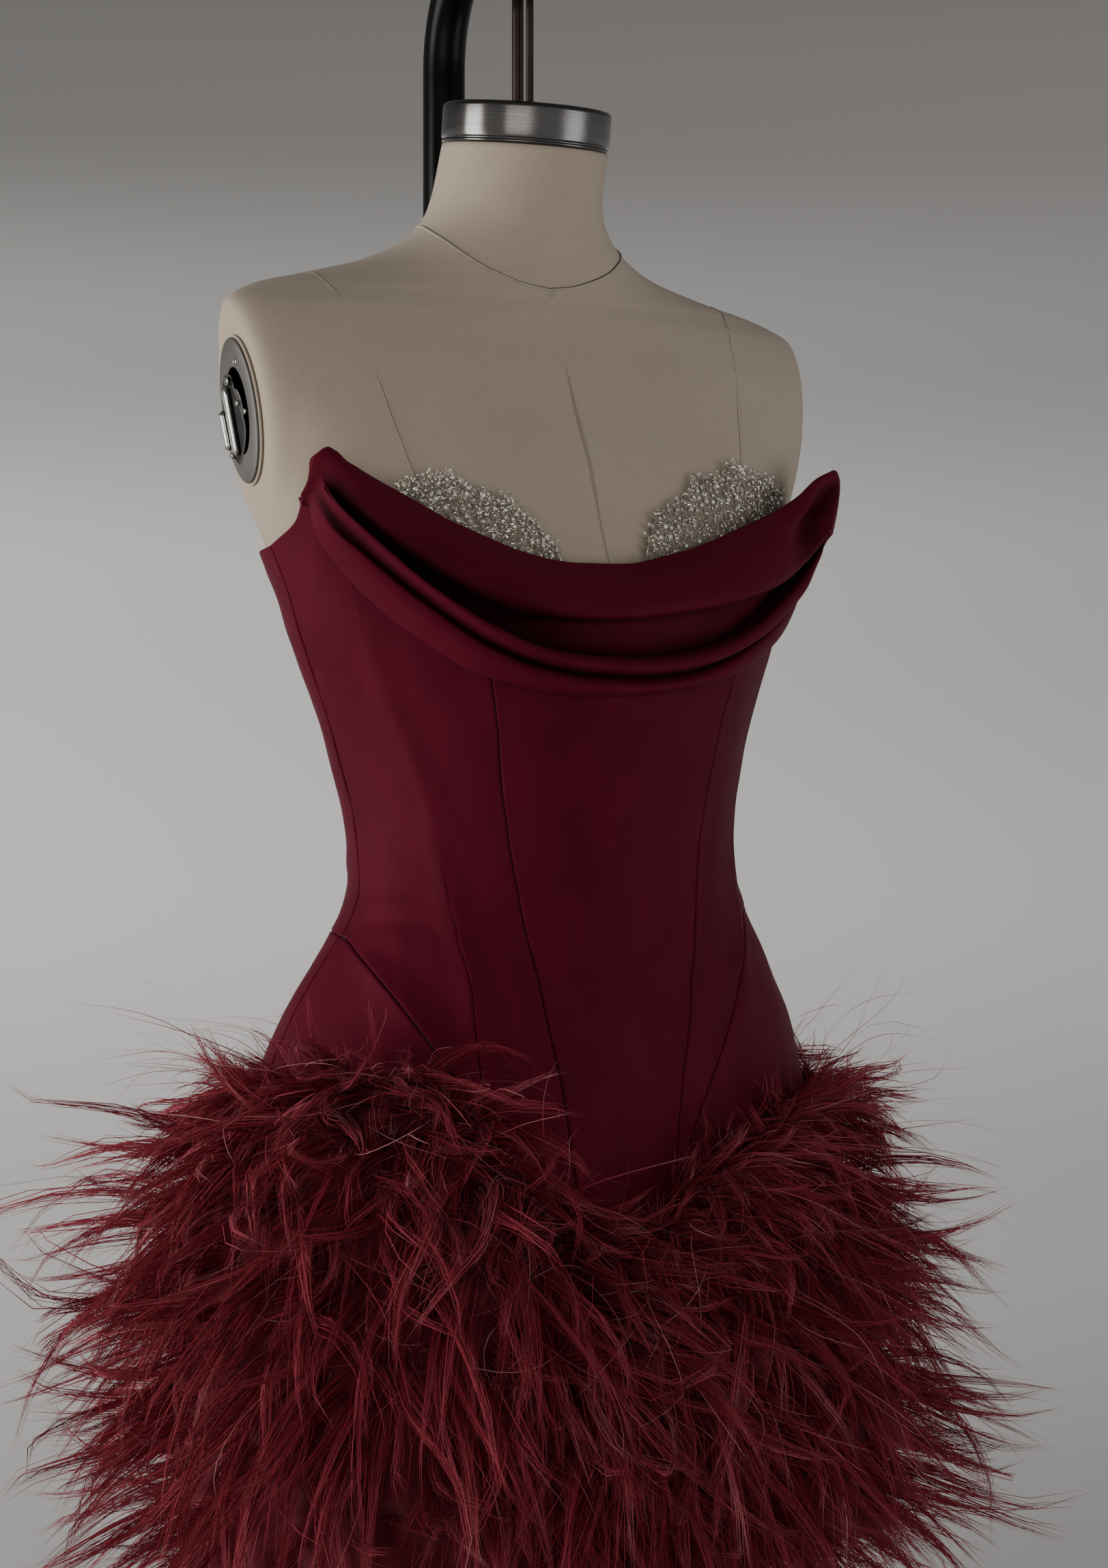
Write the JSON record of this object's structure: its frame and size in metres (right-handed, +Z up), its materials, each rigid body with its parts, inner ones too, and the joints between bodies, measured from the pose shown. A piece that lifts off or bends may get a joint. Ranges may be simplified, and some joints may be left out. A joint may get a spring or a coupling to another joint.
{
  "type": "strapless bodycon mini dress on a limbless dress form with a gooseneck stand",
  "caption": "Burgundy strapless corset mini dress with cowl neckline, beaded lace cups and feather skirt, worn by a linen-covered limbless dress form on a gooseneck stand.",
  "frame": {"origin": "on the floor under the middle of the stand's round base, at the bottom centre of the whole part", "axes": "+Z up; the dress faces -Y; the wearer's left is +X"},
  "size_m": [0.589, 0.48, 1.6595],
  "materials": {
    "crepe": "burgundy crepe-backed satin, fine weave, soft sheen",
    "zip_tape": "woven zip tape, matte",
    "feathers": "dyed ostrich feathers, soft and wispy",
    "beaded_lace": "silver filigree lace with clear crystals",
    "linen": "natural linen over a hard shell, matte",
    "brushed_steel": "brushed round the band",
    "grey_metal": "dark grey satin",
    "chrome": "polished",
    "black_tube": "black gloss enamel",
    "base_iron": "black satin enamel",
    "bronze_rod": "dark bronze plating"
  },
  "bodies": {
    "root": {"form_torso": "linen", "form_neck_ring": "brushed_steel", "arm_plate_right": "grey_metal", "arm_lever_right": "chrome", "arm_latch_right": "chrome", "arm_plate_left": "grey_metal", "arm_lever_left": "chrome", "arm_latch_left": "chrome", "stand_gooseneck": "black_tube", "stand_collar": "black_tube", "stand_base": "base_iron", "stand_hanger_block": "black_tube", "hanger_rod_back": "bronze_rod", "hanger_rod_front": "bronze_rod", "bodice_front_centre": "crepe", "bodice_front_right": "crepe", "bodice_front_left": "crepe", "bodice_side_front_right": "crepe", "bodice_side_front_left": "crepe", "bodice_side_back_right": "crepe", "bodice_side_back_left": "crepe", "bodice_back_right": "crepe", "bodice_back_left": "crepe", "zip_centre_back": "zip_tape", "skirt_front_right": "crepe", "skirt_front_left": "crepe", "skirt_back_right": "crepe", "skirt_back_left": "crepe", "skirt_back_seam": "crepe", "cowl_drape": "crepe", "lace_cup_right": "beaded_lace", "lace_cup_left": "beaded_lace", "feather_tier_top": "feathers", "feather_tier_middle": "feathers", "feather_tier_hem": "feathers"}
  },
  "joints": []
}
